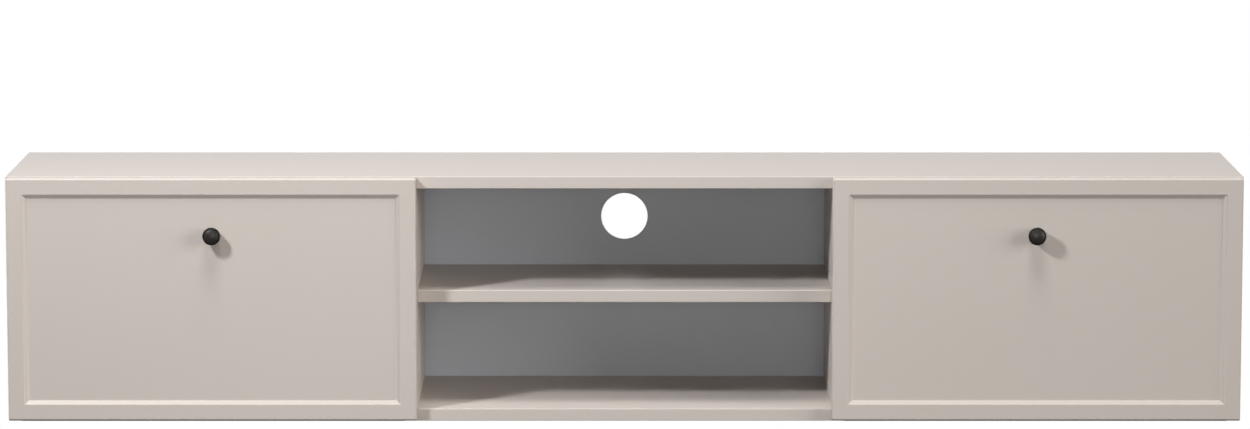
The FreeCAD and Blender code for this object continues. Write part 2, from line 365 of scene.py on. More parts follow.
# Boards: satin cashmere laminate, with a glued edge band at the front and raw chipboard at the rear.
laminateLook = {
    "colour": (203, 194, 186),
    "shade": (199, 190, 182),
    "bandLine": (170, 161, 152),
    "bandThickness": 0.8 * mm,
    "bandLineHalf": 0.06 * mm,
    "chips": ((176, 148, 112), (120, 94, 66)),
    "roughness": (0.40, 0.50),
    "rawRoughness": 0.35,
    "cloud": (2.2, 2.0),
    "grain": (900.0, 2.0, 0.6),
    "grainDepth": 0.02 * mm,
    "chipGrain": (420.0, 3.0, 0.7),
    "chipHeight": 8.0,
    "rawReach": 0.3 * mm,
}


# The band's line lies just behind frontY, and the raw cut just before rearY.
def laminate(name, frontY, rearY):
    look = laminateLook
    material, place = newMaterial(name)
    y = place.node("ShaderNodeSeparateXYZ", inputs={"Vector": place}, output="Y")
    cloud = noise(place, *look["cloud"])
    grain = noise(place, *look["grain"])
    colour = painted(cloud, look["colour"], look["shade"])
    offLine = y.math("ABSOLUTE", y - (frontY + look["bandThickness"]))
    line = offLine.math("LESS_THAN", offLine, look["bandLineHalf"])
    colour = mixed(line, colour, paint(*look["bandLine"]))
    chipGrain = noise(place, *look["chipGrain"])
    chips = painted(chipGrain, *look["chips"])
    raw = y.math("GREATER_THAN", y, rearY - look["rawReach"])
    colour = mixed(raw, colour, chips)
    roughness = between(cloud, *look["roughness"]) + raw * look["rawRoughness"]
    height = grain + raw * chipGrain * look["chipHeight"]
    finish(place, colour, roughness, height, look["grainDepth"])
    return material


# Flaps: foil-wrapped board, a little smoother than the carcass.
flapLook = {
    "colour": (202, 193, 185),
    "shade": (199, 190, 181),
    "roughness": (0.34, 0.42),
    "cloud": (3.0, 2.0),
    "orangePeel": (650.0, 2.0, 0.55),
    "orangePeelDepth": 0.012 * mm,
}


def flapLacquer():
    look = flapLook
    material, place = newMaterial("cashmere flap lacquer")
    cloud = noise(place, *look["cloud"])
    peel = noise(place, *look["orangePeel"])
    colour = painted(cloud, look["colour"], look["shade"])
    finish(place, colour, between(cloud, *look["roughness"]), peel, look["orangePeelDepth"])
    return material


# Back panels: hardboard, painted grey on the face that looks into the bays and raw behind.
hardboardLook = {
    "paint": (213, 220, 231),
    "paintShade": (206, 213, 224),
    "raw": ((124, 92, 62), (94, 66, 42)),
    "roughness": (0.55, 0.68),
    "rawRoughness": 0.2,
    "cloud": (6.0, 3.0),
    "fibre": (260.0, 5.0, 0.65, (1.0, 1.0, 0.35)),
    "fibreDepth": 0.05 * mm,
    "screenScale": 900.0,
    "screenHeight": 2.0,
    "paintReach": 0.3 * mm,
}


def hardboard(faceY):
    look = hardboardLook
    material, place = newMaterial("grey painted hardboard")
    y = place.node("ShaderNodeSeparateXYZ", inputs={"Vector": place}, output="Y")
    raw = y.math("GREATER_THAN", y, faceY + look["paintReach"])
    cloud = noise(place, *look["cloud"])
    fibre = noise(place, *look["fibre"])
    grey = painted(cloud, look["paint"], look["paintShade"])
    brown = painted(fibre, *look["raw"])
    cells = {"Vector": place, "Scale": look["screenScale"]}
    screen = place.node("ShaderNodeTexVoronoi", {"feature": "F1"}, cells)
    height = fibre + raw * screen * look["screenHeight"]
    roughness = between(cloud, *look["roughness"]) + raw * look["rawRoughness"]
    finish(place, mixed(raw, grey, brown), roughness, height, look["fibreDepth"])
    return material


# Knobs: matte black powder coat, polished by hands on the domed face within polishRadius
knobLook = {
    "colour": (32, 29, 23),
    "shade": (27, 24, 20),
    "roughness": (0.42, 0.55),
    "cloud": (120.0, 2.0),
    "grain": (2600.0, 2.0, 0.6),
    "grainDepth": 0.03 * mm,
    "specular": 0.15,
    "polish": 0.8,
    "polishRoughness": 0.34,
    "polishRadius": 10.4 * mm,
    "polishFade": 0.4 * mm,
}


def powderBlack():
    look = knobLook
    centre = middleOf(*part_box("knob_right"), 0)
    material, place = newMaterial("matte black powder coat")
    cloud = noise(place, *look["cloud"])
    grain = noise(place, *look["grain"])
    colour = painted(cloud, look["colour"], look["shade"])
    mirrored = place.node("ShaderNodeVectorMath", {"operation": "ABSOLUTE"}, {0: place})
    offset = place.node("ShaderNodeVectorMath", {"operation": "SUBTRACT"}, {0: mirrored, 1: centre})
    flat = place.node("ShaderNodeVectorMath", {"operation": "MULTIPLY"}, {0: offset, 1: (1, 0, 1)})
    radius = place.node("ShaderNodeVectorMath", {"operation": "LENGTH"}, {0: flat}, output="Value")
    span = {"From Min": look["polishRadius"], "From Max": look["polishRadius"] - look["polishFade"]}
    face = radius.node("ShaderNodeMapRange", {}, {"Value": radius, **span})
    gloss = {
        "Specular IOR Level": look["specular"],
        "Coat Weight": face * look["polish"],
        "Coat Roughness": look["polishRoughness"],
    }
    finish(place, colour, between(grain, *look["roughness"]), grain, look["grainDepth"], **gloss)
    return material


# Metals: a plating with fine marks, drawn out where marks has a small number
platingLook = {"cloud": (60.0, 3.0), "streak": (900.0, 3.0, 0.6)}


def plating(name, colour, shade, roughness, marks, depth):
    material, place = newMaterial(name)
    cloud = noise(place, *platingLook["cloud"])
    streak = noise(place, *platingLook["streak"], marks)
    tint = painted(cloud, colour, shade)
    finish(place, tint, between(streak, *roughness), streak, depth, Metallic=1.0)
    return material


# Moulded plastic, ferrite and other matte bodies with a fine eroded texture of their own scale
mouldedLook = {"cloud": (90.0, 3.0), "grain": (2.0, 0.6)}


def moulded(name, colour, shade, roughness, depth, scale=1800.0, **constants):
    material, place = newMaterial(name)
    cloud = noise(place, *mouldedLook["cloud"])
    grain = noise(place, scale, *mouldedLook["grain"])
    tint = painted(cloud, colour, shade)
    finish(place, tint, between(grain, *roughness), grain, depth, **constants)
    return material


# Beech: long fine pores, along X as the rail and shelf dowels lie
beechLook = {
    "colour": (214, 176, 132),
    "shade": (186, 142, 98),
    "roughness": (0.5, 0.7),
    "rings": (300.0, 4.0, 0.6, (0.12, 1.0, 1.0)),
    "pores": (2200.0, 2.0, 0.6, (0.1, 1.0, 1.0)),
    "poreDepth": 0.05 * mm,
}


def beechWood():
    look = beechLook
    material, place = newMaterial("beech dowel wood")
    rings = noise(place, *look["rings"])
    pores = noise(place, *look["pores"])
    tint = painted(rings, look["colour"], look["shade"])
    finish(place, tint, between(pores, *look["roughness"]), pores, look["poreDepth"])
    return material


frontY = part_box("top_panel")[0].y
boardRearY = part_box("top_panel")[1].y
offBoard = 0.1  # far enough to keep a band's line and a raw cut off a piece
laminateBoard = laminate("cashmere laminate", frontY, boardRearY)
shelfLaminate = laminate("cashmere shelf laminate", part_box("centre_shelf")[0].y, boardRearY)
railLaminate = laminate("cashmere rail laminate", frontY - offBoard, boardRearY + offBoard)
flapFinish = flapLacquer()
hardboardFinish = hardboard(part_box("back_panel_centre")[0].y)
knobFinish = powderBlack()
zinc = plating("zinc plating", (196, 198, 202), (176, 177, 176), (0.26, 0.42), (0.15, 1, 1), 0.01 * mm)
screwZinc = plating("screw zinc", (202, 202, 200), (168, 166, 158), (0.22, 0.40), (1, 1, 1), 0.01 * mm)
castZinc = plating("cast zinc", (188, 188, 186), (172, 171, 168), (0.48, 0.62), (1, 1, 1), 0.02 * mm)
chrome = plating("bright chrome", (226, 228, 230), (214, 217, 220), (0.05, 0.11), (1, 1, 0.1), 0.002 * mm)
stayPaint = moulded("graphite tube paint", (74, 76, 79), (64, 66, 69), (0.32, 0.44), 0.015 * mm, 1200.0)
catchPlastic = moulded("white moulded plastic", (226, 224, 217), (218, 215, 207), (0.36, 0.48), 0.02 * mm)
blackPlastic = moulded("black moulded plastic", (36, 36, 37), (30, 30, 31), (0.38, 0.52), 0.02 * mm)
ferrite = moulded("ferrite magnet", (58, 57, 58), (44, 43, 45), (0.55, 0.72), 0.05 * mm, 1400.0)
padRubber = moulded("clear pad rubber", (214, 216, 214), (206, 208, 205), (0.16, 0.26), 0.01 * mm,
                    **{"Transmission Weight": 0.75, "IOR": 1.46})
beech = beechWood()
print("materials made")


# Carcass boards: the CAD's boxes with eased arrises
boardSizes = {"arris": 1.0 * mm}


def addBoards():
    nodes = ["top_panel", "bottom_panel"]
    nodes += [f"{stem}_{side}" for stem in ("side_panel", "divider") for side in sides]
    for node in nodes:
        shape = block(*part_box(node), boardSizes["arris"])
        addPiece(f"{node}_board", shape, laminateBoard, "carcass", [node])
    shape = block(*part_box("centre_shelf"), boardSizes["arris"])
    addPiece("centre_shelf_board", shape, shelfLaminate, "carcass", ["centre_shelf"])


addBoards()
print("boards made")


# Rails and back panels: flat pieces with round holes
panelSizes = {
    "cableRadius": 35.0 * mm,
    "cableZ": 263.0 * mm,
    "screwRadius": 4.0 * mm,
    "screwSpacing": 400.0 * mm,
    "arris": 0.35 * mm,
    "nailRadius": 1.9 * mm,
    "nailDome": 0.12 * mm,
    "nailEdge": 0.05 * mm,
    "nailDepth": 0.6 * mm,
    "nailSpacing": 95.0 * mm,
    "nailInset": 8.5 * mm,
    "nailSink": 0.25 * mm,
}


# A flat piece facing the front that fills a box, with round holes at (x, z, radius).
def holedPanel(low, high, holes, arris):
    width = high.x - low.x
    height = high.z - low.z
    middle = middleOf(low, high, high.y)

    def outline(inset):
        return roundedRectangle(width - 2 * inset, height - 2 * inset, arris * 2 - inset)

    def hole(x, z, radius):
        centre = (x - middle[0], z - middle[2])
        return lambda inset: circle(radius + inset, 64, centre)

    profile = easedProfile(high.y - low.y, arris, arris, 2)
    return placed(plate(outline, profile, [hole(*entry) for entry in holes]), middle, axisX, toFront)


def screwHolePlaces(side):
    middle = middleOf(*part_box(f"hanging_rail_{side}"))
    half = panelSizes["screwSpacing"] / 2
    return [(middle[0] + x, middle[2], panelSizes["screwRadius"]) for x in (-half, half)]


# Nails run along the panel's edges: (x, z) on a rectangle inset from the panel's own.
def nailPlaces(low, high):
    inset = panelSizes["nailInset"]
    x0, x1 = low.x + inset, high.x - inset
    z0, z1 = low.z + inset, high.z - inset
    along = np.linspace(x0, x1, round((x1 - x0) / panelSizes["nailSpacing"]) + 1)
    up = np.linspace(z0, z1, round((z1 - z0) / panelSizes["nailSpacing"]) + 1)[1:-1]
    rows = [np.column_stack([along, np.full(len(along), z)]) for z in (z0, z1)]
    columns = [np.column_stack([np.full(len(up), x), up]) for x in (x0, x1)]
    return np.concatenate(rows + columns)


# A low dome on a short shank that stands in the panel
def nailShape():
    size = panelSizes
    r, dome = size["nailRadius"], size["nailDome"]
    edge, foot = -size["nailEdge"], -size["nailDepth"]
    return lathe([(0, dome), (0.6 * r, 0.75 * dome), (r, edge), (r, foot), (0, foot)], 14)


# The sheets end a little short of the solids' rear, which keeps their nails inside the solids' size.
def addBackPanels():
    nail = nailShape()
    panels = {"back_panel_centre": [(0.0, panelSizes["cableZ"], panelSizes["cableRadius"])]}
    for side in sides:
        panels[f"back_panel_{side}"] = screwHolePlaces(side)
    for node, holes in panels.items():
        low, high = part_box(node)
        high.y -= panelSizes["nailSink"]
        shape = holedPanel(low, high, holes, panelSizes["arris"])
        addPiece(f"{node}_sheet", shape, hardboardFinish, "carcass", [node])
        nails = repeated(nail, [(x, high.y, z) for x, z in nailPlaces(low, high)], axisX, axisY)
        addPiece(f"{node}_nails", nails, screwZinc, "carcass")


def addRails():
    for side in sides:
        node = f"hanging_rail_{side}"
        low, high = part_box(node)
        shape = holedPanel(low, high, screwHolePlaces(side), boardSizes["arris"])
        addPiece(f"{node}_board", shape, railLaminate, "carcass", [node])


addBackPanels()
addRails()
print("back panels and rails made")


# Cam locks: a cast disc with a cross recess in each bore
camSizes = {
    "radius": 7.4 * mm,
    "height": 1.2 * mm,
    "proud": 0.25 * mm,
    "slot": 0.5,
    "fromBoardEnd": 24.0 * mm,
    "ys": (-85.0 * mm, 130.0 * mm),
}


def addCamLocks():
    size = camSizes
    disc = screwHead(size["radius"], size["height"], size["slot"], domed=False)
    low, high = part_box("side_panel_right")
    zs = (low.z + size["fromBoardEnd"], high.z - size["fromBoardEnd"])
    discs = []
    for faceX, toRoom in ((low.x, -1), (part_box("divider_right")[1].x, 1)):
        x = faceX + toRoom * (size["proud"] - size["height"])
        discs += [placed(disc, (x, y, z), axisY, (toRoom, 0, 0)) for z in zs for y in size["ys"]]
    rightHalf = joined(*discs)
    shape = joined(rightHalf, onSide(rightHalf, -1))
    addPiece("cam_lock_discs", shape, castZinc, "carcass", ["cam_locks"])


addCamLocks()
print("cam locks made")


# Flaps: one profile from the sunk field over the milled slope, border and rounded edge to the back.
# It starts and ends with a flat rim, from which the two faces are filled.
flapSizes = {
    "border": 23.5 * mm,
    "slope": 6.5 * mm,
    "depth": 3.5 * mm,
    "edgeRadius": 3.0 * mm,
    "backRadius": 0.8 * mm,
    "cornerRadius": 3.0 * mm,
    "slopeTopRadius": 2.0 * mm,
    "slopeFootRadius": 3.0 * mm,
    "rim": 4.0 * mm,
    "steps": 6,
}


def addFlap(side):
    size = flapSizes
    low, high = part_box(f"flap_{side}")
    width, height, thickness = high.x - low.x, high.z - low.z, high.y - low.y
    field = size["border"] + size["slope"]
    corners = [
        (field + size["rim"], thickness - size["depth"]),
        (field, thickness - size["depth"]),
        (size["border"], thickness),
        (0, thickness),
        (0, 0),
        (size["rim"], 0),
    ]
    radii = [size["slopeFootRadius"], size["slopeTopRadius"], size["edgeRadius"], size["backRadius"]]
    profile = roundedPath(corners, radii, size["steps"])

    def outline(inset):
        radius = max(size["cornerRadius"] - inset, 0)
        return roundedRectangle(width - 2 * inset, height - 2 * inset, radius)

    shape = placed(plate(outline, profile), middleOf(low, high, high.y), axisX, toFront)
    addPiece(f"{side}_flap_front", shape, flapFinish, f"{side}_flap", [f"flap_{side}"])


# Knobs: a body that widens from the foot to its belly, a rounded rim, a fine groove and a domed face
knobSizes = {
    "foot": 9.8 * mm,
    "belly": 12.9 * mm,
    "bellyDepth": 8.0 * mm,
    "rim": 2.3 * mm,
    "groove": 0.35 * mm,
    "dome": 2.4 * mm,
    "footRadius": 0.4 * mm,
    "bellyRadius": 12.0 * mm,
    "rimRadius": 2.0 * mm,
    "grooveRadius": 0.5 * mm,
    "around": 64,
}

knobScrewSizes = {
    "head": 4.4 * mm,
    "headHeight": 2.4 * mm,
    "slot": 0.55,
    "washer": 5.8 * mm,
    "washerThickness": 0.45 * mm,
    "washerBevel": 0.2 * mm,
    "sunk": 0.3 * mm,
    "seatGap": 0.01 * mm,
}


def addKnob(side):
    size = knobSizes
    low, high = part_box(f"knob_{side}")
    reach = high.y - low.y
    face = size["belly"] - size["rim"]
    rimTop = reach - size["dome"]
    corners = [
        (0, 0),
        (size["foot"], 0),
        (size["belly"], reach - size["bellyDepth"]),
        (size["belly"], rimTop - size["rim"]),
        (face + size["groove"], rimTop),
        (face, rimTop - size["groove"]),
    ]
    radii = [size["footRadius"], size["bellyRadius"], size["rimRadius"], size["grooveRadius"]]
    turned = roundedPath(corners, radii, 6)
    sphere = (face**2 + size["dome"] ** 2) / (2 * size["dome"])
    radius = np.linspace(face - 0.3 * size["groove"], 0, 9)
    dome = np.column_stack([radius, reach - sphere + np.sqrt(sphere**2 - radius**2)])
    shape = lathe(np.concatenate([turned, dome]), size["around"])
    shape = placed(shape, middleOf(low, high, high.y), axisX, toFront)
    addPiece(f"{side}_knob_turned", shape, knobFinish, f"{side}_flap", [f"knob_{side}"])


# The screw's head and its washer on the flap's back, behind the knob
def addKnobScrew(side):
    size = knobScrewSizes
    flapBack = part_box(f"flap_{side}")[1].y
    x, y, z = middleOf(*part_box(f"knob_{side}"), flapBack)
    head = screwHead(size["head"], size["headHeight"], size["slot"])
    rim, seat, top = size["washer"], size["seatGap"], size["washerThickness"]
    bevel = size["washerBevel"]
    washer = lathe([(0, seat), (rim - bevel, seat), (rim, bevel), (rim - bevel, top), (0, top)])
    shape = joined(placed(head, (x, y + size["sunk"], z), axisX, axisY),
                   placed(washer, (x, y, z), axisX, axisY))
    node = f"knob_screw_{side}"
    addPiece(f"{side}_knob_screw_head", shape, screwZinc, f"{side}_flap", [node])


for side in sides:
    addFlap(side)
    addKnob(side)
    addKnobScrew(side)
print("flaps and knobs made")


# Strip hinges: a flat leaf each, alternate knuckles rolled round one pin
hingeSizes = {
    "knuckles": 9,
    "knuckleRadius": 1.6 * mm,
    "gap": 0.3 * mm,
    "pinRadius": 0.8 * mm,
    "leafThickness": 0.7 * mm,
    "leafArris": 0.12 * mm,
    "rootOverlap": 0.5 * mm,
    "knuckleBevel": 0.15 * mm,
    "pinPlay": 0.05 * mm,
    "pinDome": (0.02 * mm, 0.3 * mm),
    "screws": 8,
    "screwRadius": 2.4 * mm,
    "screwProud": 0.18 * mm,
    "screwSunk": 0.3 * mm,
    "screwSlot": 0.6,
    "screwMargin": 4.0 * mm,
    "flapScrewShift": 0.25,
}


# One leaf and its screws: a strip on the face at faceY, a root and a rolled knuckle for every second
# place on the pin. The screws are spaced evenly and moved along by screwShift of their spacing.
def hingeLeaf(node, side, first, faceY, toward, screwShift):
    size = hingeSizes
    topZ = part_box(node)[1].z
    axis = np.array(joints[f"{side}_flap_drop"]["pos_m"])
    start, end = (corner.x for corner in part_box(f"hinge_pin_{side}"))
    pitch = (end - start) / size["knuckles"]
    y0, y1 = sorted((faceY, faceY + toward * size["leafThickness"]))
    r = size["knuckleRadius"]
    clearZ = axis[2] + r + size["gap"]
    shapes = [block((start, y0, clearZ), (end, y1, topZ), size["leafArris"], steps=2)]
    bevel = size["knuckleBevel"]
    bore = size["pinRadius"] + size["pinPlay"]
    span = pitch - size["gap"]
    rolled = [(bore, 0), (r - bevel, 0), (r, bevel), (r, span - bevel), (r - bevel, span), (bore, span)]
    knuckle = lathe(rolled, 24, closed=True)
    for i in range(first, size["knuckles"], 2):
        x = start + i * pitch + size["gap"] / 2
        rootTop = (x + span, y1, clearZ + size["rootOverlap"])
        shapes.append(block((x, y0, axis[2]), rootTop, size["leafArris"], steps=2))
        shapes.append(placed(knuckle, (x, axis[1], axis[2]), axisY, axisX))
    xs = start + (end - start) / size["screws"] * (np.arange(size["screws"]) + 0.5 + screwShift)
    height = size["screwProud"] + size["screwSunk"]
    head = screwHead(size["screwRadius"], height, size["screwSlot"], domed=False)
    faceOut = faceY + toward * (size["leafThickness"] - size["screwSunk"])
    spots = [(x, faceOut, (clearZ + topZ) / 2) for x in xs if x < end - size["screwMargin"]]
    return joined(*shapes), repeated(head, spots, axisX, (0, toward, 0))


def addHingeLeaves(side):
    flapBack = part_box(f"flap_{side}")[1].y
    for stem, body, first, faceY, toward, shift in (
        ("hinge_leaf_carcass", "carcass", 0, frontY, -1, 0.0),
        ("hinge_leaf_flap", f"{side}_flap", 1, flapBack, 1, hingeSizes["flapScrewShift"]),
    ):
        node = f"{stem}_{side}"
        leaf, screws = hingeLeaf(node, side, first, faceY, toward, shift)
        addPiece(f"{node}_rolled", leaf, zinc, body, [node])
        addPiece(f"{node}_screws", screws, screwZinc, body)


def addHingePin(side):
    node = f"hinge_pin_{side}"
    low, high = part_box(node)
    r = hingeSizes["pinRadius"]
    crown, rim = hingeSizes["pinDome"]
    length = high.x - low.x
    half = [(0, 0), (0.6 * r, crown), (r, rim)]
    pin = half + [(radius, length - x) for radius, x in reversed(half)]
    x, y, z = middleOf(low, high)
    shape = placed(lathe(pin, 20), (low.x, y, z), axisY, axisX)
    addPiece(f"{node}_round", shape, chrome, frame["nodes"][node]["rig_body"], [node])


# Stays: a painted tube with a plastic gland, a bright rod with its piston, and an eye at each pivot.
# Sizes along a stay run from the pivot on the side wall; the tube's rings run from its closed end.
staySizes = {
    "tube": 7.5 * mm,
    "bore": 5.6 * mm,
    "tubeStart": 5.2 * mm,
    "tubeEnd": 195.0 * mm,
    "tubeNeck": 6.0 * mm,
    "tubeGroove": 6.75 * mm,
    "tubeRings": (9.0 * mm, 11.0 * mm, 15.0 * mm, 15.6 * mm, 17.0 * mm, 17.6 * mm),
    "neckRadii": (1.2 * mm, 1.0 * mm, 1.0 * mm),
    "grooveRadius": 0.3 * mm,
    "mouthRadii": (0.5 * mm, 0, 0.3 * mm),
    "capLength": 14.8 * mm,
    "gland": 6.0 * mm,
    "glandRim": 0.2 * mm,
    "glandLap": 0.02 * mm,
    "glandBevel": (1.0 * mm, 1.4 * mm),
    "glandLip": 0.6 * mm,
    "rod": 3.0 * mm,
    "rodPlay": 0.08 * mm,
    "rodStart": 21.0 * mm,
    "rodEnd": 5.5 * mm,
    "piston": 8.0 * mm,
    "pistonPlay": 0.15 * mm,
}

# The rod's end: the collar's three radii and its four distances from the pivot, and the eye on the pivot
stayEndSizes = {
    "collar": (3.6 * mm, 4.6 * mm, 3.4 * mm),
    "collarFrom": (17.0 * mm, 16.0 * mm, 6.0 * mm, 4.0 * mm),
    "eye": 6.0 * mm,
    "eyeWidth": 8.0 * mm,
    "eyeEase": (0.2 * mm, 0.7 * mm, 0.8 * mm),
    "eyePlay": 0.05 * mm,
}

# Brackets: stud, rivet head, plates of one thickness and their screws
bracketSizes = {
    "stud": 3.0 * mm,
    "studShoulder": 4.4 * mm,
    "studSunk": 0.5 * mm,
    "studHeads": (4.5 * mm, 3.4 * mm, 1.8 * mm),
    "studHeadHeights": (0.9 * mm, 1.7 * mm, 2.0 * mm),
    "gap": 0.3 * mm,
    "plate": 2.5 * mm,
    "plateLength": 40.0 * mm,
    "plateWidth": 22.0 * mm,
    "plateEase": (0.4 * mm, 0.2 * mm),
    "wallCorner": 3.5 * mm,
    "footCorner": 2.5 * mm,
    "earStart": 0.5 * mm,
    "earTip": 5.5 * mm,
    "earRadii": (0, 1.5 * mm, 5.3 * mm, 5.3 * mm, 1.5 * mm, 0),
    "earSink": 0.1 * mm,
    "screw": (3.7 * mm, 2.0 * mm, 0.55),
    "wallScrewY": 13.0 * mm,
    "footScrewX": 13.5 * mm,
    "footScrewZ": 12.0 * mm,
}


# A ring round the pivot with rounded edges
def stayEye(pivot):
    size = stayEndSizes
    r = size["eye"]
    half = size["eyeWidth"] / 2
    bore = bracketSizes["stud"] + size["eyePlay"]
    fine, near, far = size["eyeEase"]
    edge = [(r, half - far), (r - fine, half - fine), (r - near, half), (bore, half)]
    ring = [(radius, -x) for radius, x in reversed(edge)] + edge
    return placed(lathe(ring, 40, closed=True), pivot, axisY, axisX)


# Its closed end has a neck and one turned groove; the end of the bore is closed too.
def stayTube():
    size = staySizes
    r, neck, groove, bore = size["tube"], size["tubeNeck"], size["tubeGroove"], size["bore"]
    start = size["tubeStart"]
    rings = [start + along for along in size["tubeRings"]]
    mouth = size["tubeEnd"] - size["gland"]
    cap = start + size["capLength"]
    radius = [0, neck, neck, r, r, groove, groove, r, r, bore, bore, 0]
    corners = list(zip(radius, [start, start, *rings, mouth, mouth, cap, cap]))
    rounding = [*size["neckRadii"], *[size["grooveRadius"]] * 4, *size["mouthRadii"]]
    return lathe(roundedPath(corners, rounding, 4), 48)


# A plug in the tube's mouth with a bevelled rim and a lip round the rod
def stayGland():
    size = staySizes
    hole = size["rod"] + size["rodPlay"]
    rim = size["tube"] - size["glandRim"]
    end = size["tubeEnd"]
    mouth = end - size["gland"]
    inner, lap = mouth - size["gland"], mouth + size["glandLap"]
    bevel, slope = size["glandBevel"]
    ring = [(hole, inner), (size["bore"], inner), (size["bore"], lap), (rim, lap), (rim, end - slope)]
    ring += [(rim - bevel, end), (hole + size["glandLip"], end), (hole, end - size["glandLip"])]
    return lathe(ring, 48, closed=True)


def addStay(side):
    size = staySizes
    wallPivot = np.array(joints[f"{side}_stay_cylinder_swing"]["pos_m"])
    flapPivot = np.array(joints[f"{side}_stay_rod_swing"]["pos_m"])
    length = np.linalg.norm(flapPivot - wallPivot)
    direction = (flapPivot - wallPivot) / length
    body = f"{side}_stay_cylinder"
    tube = placed(stayTube(), wallPivot, axisX, direction)
    addPiece(f"{side}_stay_tube", tube, stayPaint, body, [f"stay_cylinder_{side}"])
    addPiece(f"{side}_stay_wall_eye", stayEye(wallPivot), zinc, body)
    gland = placed(stayGland(), wallPivot, axisX, direction)
    addPiece(f"{side}_stay_gland", gland, blackPlastic, body)
    r, start, end = size["rod"], size["rodStart"], length - size["rodEnd"]
    piston, top = size["bore"] - size["pistonPlay"], start + size["piston"]
    shaft = lathe([(0, start), (piston, start), (piston, top), (r, top), (r, end), (0, end)], 32)
    rod = placed(shaft, wallPivot, axisX, direction)
    body = f"{side}_stay_rod"
    addPiece(f"{side}_stay_shaft", rod, chrome, body, [f"stay_rod_{side}"])
    inner, middle, outer = stayEndSizes["collar"]
    a, b, c, d = (length - back for back in stayEndSizes["collarFrom"])
    collar = lathe([(0, a), (inner, a), (middle, b), (middle, c), (outer, d), (0, d)], 32)
    rodEnd = joined(placed(collar, wallPivot, axisX, direction), stayEye(flapPivot))
    addPiece(f"{side}_stay_rod_end", rodEnd, zinc, body)
    return wallPivot, flapPivot


# A turned stud on its plate: shoulder, shank and a rivet head; heights run from the plate's seat.
def stayStud(shoulderTop, headStart):
    size = bracketSizes
    foot, shoulder, stud = size["studSunk"], size["studShoulder"], size["stud"]
    rim, bevel, crown = size["studHeads"]
    low, high, top = (headStart + height for height in size["studHeadHeights"])
    profile = [(0, foot), (shoulder, foot), (shoulder, shoulderTop), (stud, shoulderTop)]
    profile += [(stud, headStart), (rim, headStart), (rim, low), (bevel, high), (crown, top), (0, top)]
    return lathe(profile, 32)


# A pressed plate with rounded corners and eased arrises
def bracketPlate(length, width, corner):
    def outline(inset):
        return roundedRectangle(length - 2 * inset, width - 2 * inset, corner - inset)

    front, back = bracketSizes["plateEase"]
    return plate(outline, easedProfile(bracketSizes["plate"], front, back, 2))


def addWallBracket(side, pivot):
    size = bracketSizes
    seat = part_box(f"side_panel_{side}")[0 if side == "right" else 1].x
    toRoom = (-sides[side], 0, 0)
    reach = abs(seat - pivot[0])
    half = stayEndSizes["eyeWidth"] / 2 + size["gap"]
    base = bracketPlate(size["plateLength"], size["plateWidth"], size["wallCorner"])
    at = (seat, pivot[1], pivot[2])
    shape = placed(joined(base, stayStud(reach - half, reach + half)), at, axisY, toRoom)
    node = f"stay_wall_bracket_{side}"
    addPiece(f"{node}_pressed", shape, zinc, "carcass", [node])
    spots = [(y, 0, size["plate"]) for y in (-size["wallScrewY"], size["wallScrewY"])]
    heads = placed(repeated(screwHead(*size["screw"]), spots), at, axisY, toRoom)
    addPiece(f"{node}_screws", heads, screwZinc, "carcass")


# An angle: a foot on the flap's back and an ear that tapers to the stud, laid out for the right side
def addFlapBracket(side, pivot):
    size = bracketSizes
    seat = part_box(f"flap_{side}")[1].y
    eyeWidth, gap, thickness = stayEndSizes["eyeWidth"], size["gap"], size["plate"]
    earOut = abs(pivot[0]) - eyeWidth / 2 - gap
    half = size["plateLength"] / 2
    foot = bracketPlate(size["plateWidth"], size["plateLength"], size["footCorner"])
    foot = placed(foot, (earOut - size["plateWidth"] / 2, seat, pivot[2]), axisX, axisY)
    start, tip = size["earStart"], size["earTip"]
    reach = pivot[1] - seat + tip
    corners = [(start, 0), (start, half), (thickness, half), (reach, tip)]
    corners += [(y, -z) for y, z in reversed(corners)]
    path = roundedPath(corners, size["earRadii"], 8)[:-1]
    ear = plate(lambda inset: path, [(0, thickness), (0, 0)])
    ear = placed(ear, (earOut - thickness, seat, pivot[2]), axisY, axisX)
    stud = stayStud(gap / 2, eyeWidth + 2 * gap)
    stud = placed(stud, (earOut - size["earSink"], pivot[1], pivot[2]), axisY, axisX)
    node = f"stay_flap_bracket_{side}"
    shape = onSide(joined(foot, ear, stud), sides[side])
    addPiece(f"{node}_pressed", shape, zinc, f"{side}_flap", [node])
    x, z = earOut - size["footScrewX"], size["footScrewZ"]
    spots = [(x, seat + thickness, pivot[2] + offset) for offset in (-z, z)]
    heads = onSide(repeated(screwHead(*size["screw"]), spots, axisX, axisY), sides[side])
    addPiece(f"{node}_screws", heads, screwZinc, f"{side}_flap")


for side in sides:
    addHingeLeaves(side)
    addHingePin(side)
    wallPivot, flapPivot = addStay(side)
    addWallBracket(side, wallPivot)
    addFlapBracket(side, flapPivot)
print("hinges and stays made")


# Catches: moulded housing with ears, magnet between two pole plates, strike plate, and bumper pads
catchSizes = {
    "body": (40.0 * mm, 16.0 * mm, 14.0 * mm),
    "ear": (62.0 * mm, 10.0 * mm, 3.0 * mm),
    "arris": 1.2 * mm,
    "screw": (3.2 * mm, 1.7 * mm, 0.55),
    "screwX": 26.0 * mm,
    "pole": 1.4 * mm,
    "poleArris": 0.25 * mm,
    "coreInset": (0.6 * mm, 0.3 * mm),
    "coreArris": 0.3 * mm,
}

strikeSizes = {
    "corner": 2.0 * mm,
    "ease": (0.25 * mm, 0.1 * mm),
    "screw": (2.7 * mm, 0.45 * mm, 0.6),
    "screwSunk": 0.3 * mm,
    "screwX": 14.5 * mm,
}

padSizes = {
    "radius": 4.0 * mm,
    "height": 1.7 * mm,
    "z": 351.0 * mm,
    "xs": (332.0 * mm, 868.0 * mm),
    "seatGap": 0.01 * mm,
}


